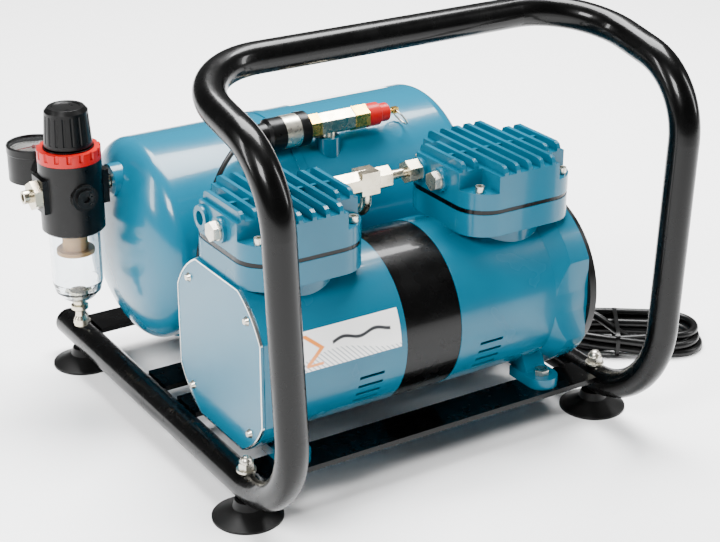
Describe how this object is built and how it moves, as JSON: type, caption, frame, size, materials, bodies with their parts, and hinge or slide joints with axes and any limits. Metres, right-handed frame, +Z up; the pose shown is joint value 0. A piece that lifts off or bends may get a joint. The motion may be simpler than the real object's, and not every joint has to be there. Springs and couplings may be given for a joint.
{
  "type": "air compressor",
  "caption": "Twin-cylinder oil-free air compressor with a cross-mounted tank in a bent-tube carrying frame on suction feet.",
  "frame": {"origin": "bottom centre of the machine without its free power cord, on the floor under the suction feet", "axes": "+X along the motor shaft towards the case where the power cord leaves, +Y from the front posts towards the tank, +Z up"},
  "size_m": [0.5129, 0.3894, 0.3155],
  "materials": {
    "black_paint": "semi-gloss powder coat",
    "teal_enamel": "gloss enamel",
    "teal_casting": "gloss enamel over a die casting",
    "nickel_brass": "nickel plated brass, satin",
    "black_plastic": "moulded, satin",
    "rubber": "matte",
    "zinc_steel": "zinc plated",
    "brass": "machined",
    "red_plastic": "satin",
    "clear_plastic": "clear moulded bowl",
    "copper": "lacquered copper wire",
    "plain_alloy": "machined",
    "white_plastic": "moulded"
  },
  "bodies": {
    "machine": {"cord_gland": "black_plastic", "cover_screws": "zinc_steel", "crankcase_left": "teal_casting", "crankcase_right": "teal_casting", "cross_bars": "black_paint", "cylinder_sleeves": "plain_alloy", "delivery_pipe": "nickel_brass", "end_cover_left": "teal_enamel", "end_cover_right": "black_plastic", "filter_bowl": "clear_plastic", "filter_element": "white_plastic", "foot_dome_nuts": "zinc_steel", "foot_studs": "zinc_steel", "foot_washers": "zinc_steel", "gauge_case": "black_plastic", "gauge_dial": "white_plastic", "head_left": "teal_casting", "head_right": "teal_casting", "head_screws": "zinc_steel", "inlet_nipple": "nickel_brass", "link_tee": "nickel_brass", "link_tube": "nickel_brass", "link_union_nuts": "nickel_brass", "lock_ring": "red_plastic", "mains_plug": "rubber", "manifold_adapter": "nickel_brass", "mounting_bolts": "zinc_steel", "outlet_nipple": "nickel_brass", "port_plugs": "zinc_steel", "power_cord_hank": "rubber", "power_cord_lead": "rubber", "rail_end_caps": "black_plastic", "regulator_body": "black_plastic", "safety_valve_body": "brass", "safety_valve_cap": "red_plastic", "shaft_bearings": "zinc_steel", "stator_stack": "black_paint", "stator_windings": "copper", "suction_feet": "rubber", "switch_body": "black_plastic", "switch_lead": "rubber", "switch_nut": "brass", "tank_saddles": "teal_enamel", "tank_shell": "teal_enamel", "tank_weld_bosses": "teal_enamel", "tube_frame": "black_paint", "valve_plates": "black_paint"},
    "shaft": {"rotor": "zinc_steel", "motor_shaft": "zinc_steel", "crank_eccentrics": "zinc_steel", "cooling_fans": "black_plastic"},
    "conrod_left": {"conrod_piston_left": "plain_alloy"},
    "conrod_right": {"conrod_piston_right": "plain_alloy"},
    "knob_carrier": {"knob_collar": "black_plastic"},
    "knob": {"regulator_knob": "black_plastic"},
    "drain": {"drain_valve": "nickel_brass"},
    "needle": {"gauge_needle": "red_plastic"},
    "valve_stem": {"safety_pull_stem": "brass"},
    "valve_ring": {"safety_pull_ring": "zinc_steel"}
  },
  "joints": [
    {"name": "shaft_spin", "type": "hinge", "parent": "machine", "child": "shaft", "pos_m": [0.0165, -0.05975, 0.0975], "axis": [1, 0, 0], "continuous": true},
    {"name": "rod_left_turn", "type": "hinge", "parent": "shaft", "child": "conrod_left", "pos_m": [-0.0725, -0.05975, 0.1035], "axis": [1, 0, 0], "continuous": true},
    {"name": "rod_right_turn", "type": "hinge", "parent": "shaft", "child": "conrod_right", "pos_m": [0.1055, -0.05975, 0.0915], "axis": [1, 0, 0], "continuous": true},
    {"name": "knob_lift", "type": "slide", "parent": "machine", "child": "knob_carrier", "axis": [0, 0, 1], "range_m": [0, 0.003]},
    {"name": "knob_turn", "type": "hinge", "parent": "knob_carrier", "child": "knob", "pos_m": [-0.1565, 0.10325, 0.22], "axis": [0, 0, 1], "range_deg": [0, 720]},
    {"name": "drain_push", "type": "slide", "parent": "machine", "child": "drain", "axis": [0, 0, 1], "range_m": [0, 0.003], "stiffness_N_per_m": 800},
    {"name": "needle_swing", "type": "hinge", "parent": "machine", "child": "needle", "pos_m": [-0.1565, 0.17425, 0.182], "axis": [0, 0, -1], "range_deg": [0, 270], "stiffness_Nm_per_rad": 0.0005},
    {"name": "stem_pull", "type": "slide", "parent": "machine", "child": "valve_stem", "axis": [1, 0, 0], "range_m": [0, 0.0025], "stiffness_N_per_m": 2000},
    {"name": "ring_swing", "type": "hinge", "parent": "valve_stem", "child": "valve_ring", "pos_m": [0.0974, 0.05625, 0.2035], "axis": [0, 1, 0], "range_deg": [-90, 5]}
  ],
  "couplings": [
    {"joint": "rod_left_turn", "follows": "shaft_spin", "ratio": -1},
    {"joint": "rod_right_turn", "follows": "shaft_spin", "ratio": -1}
  ]
}
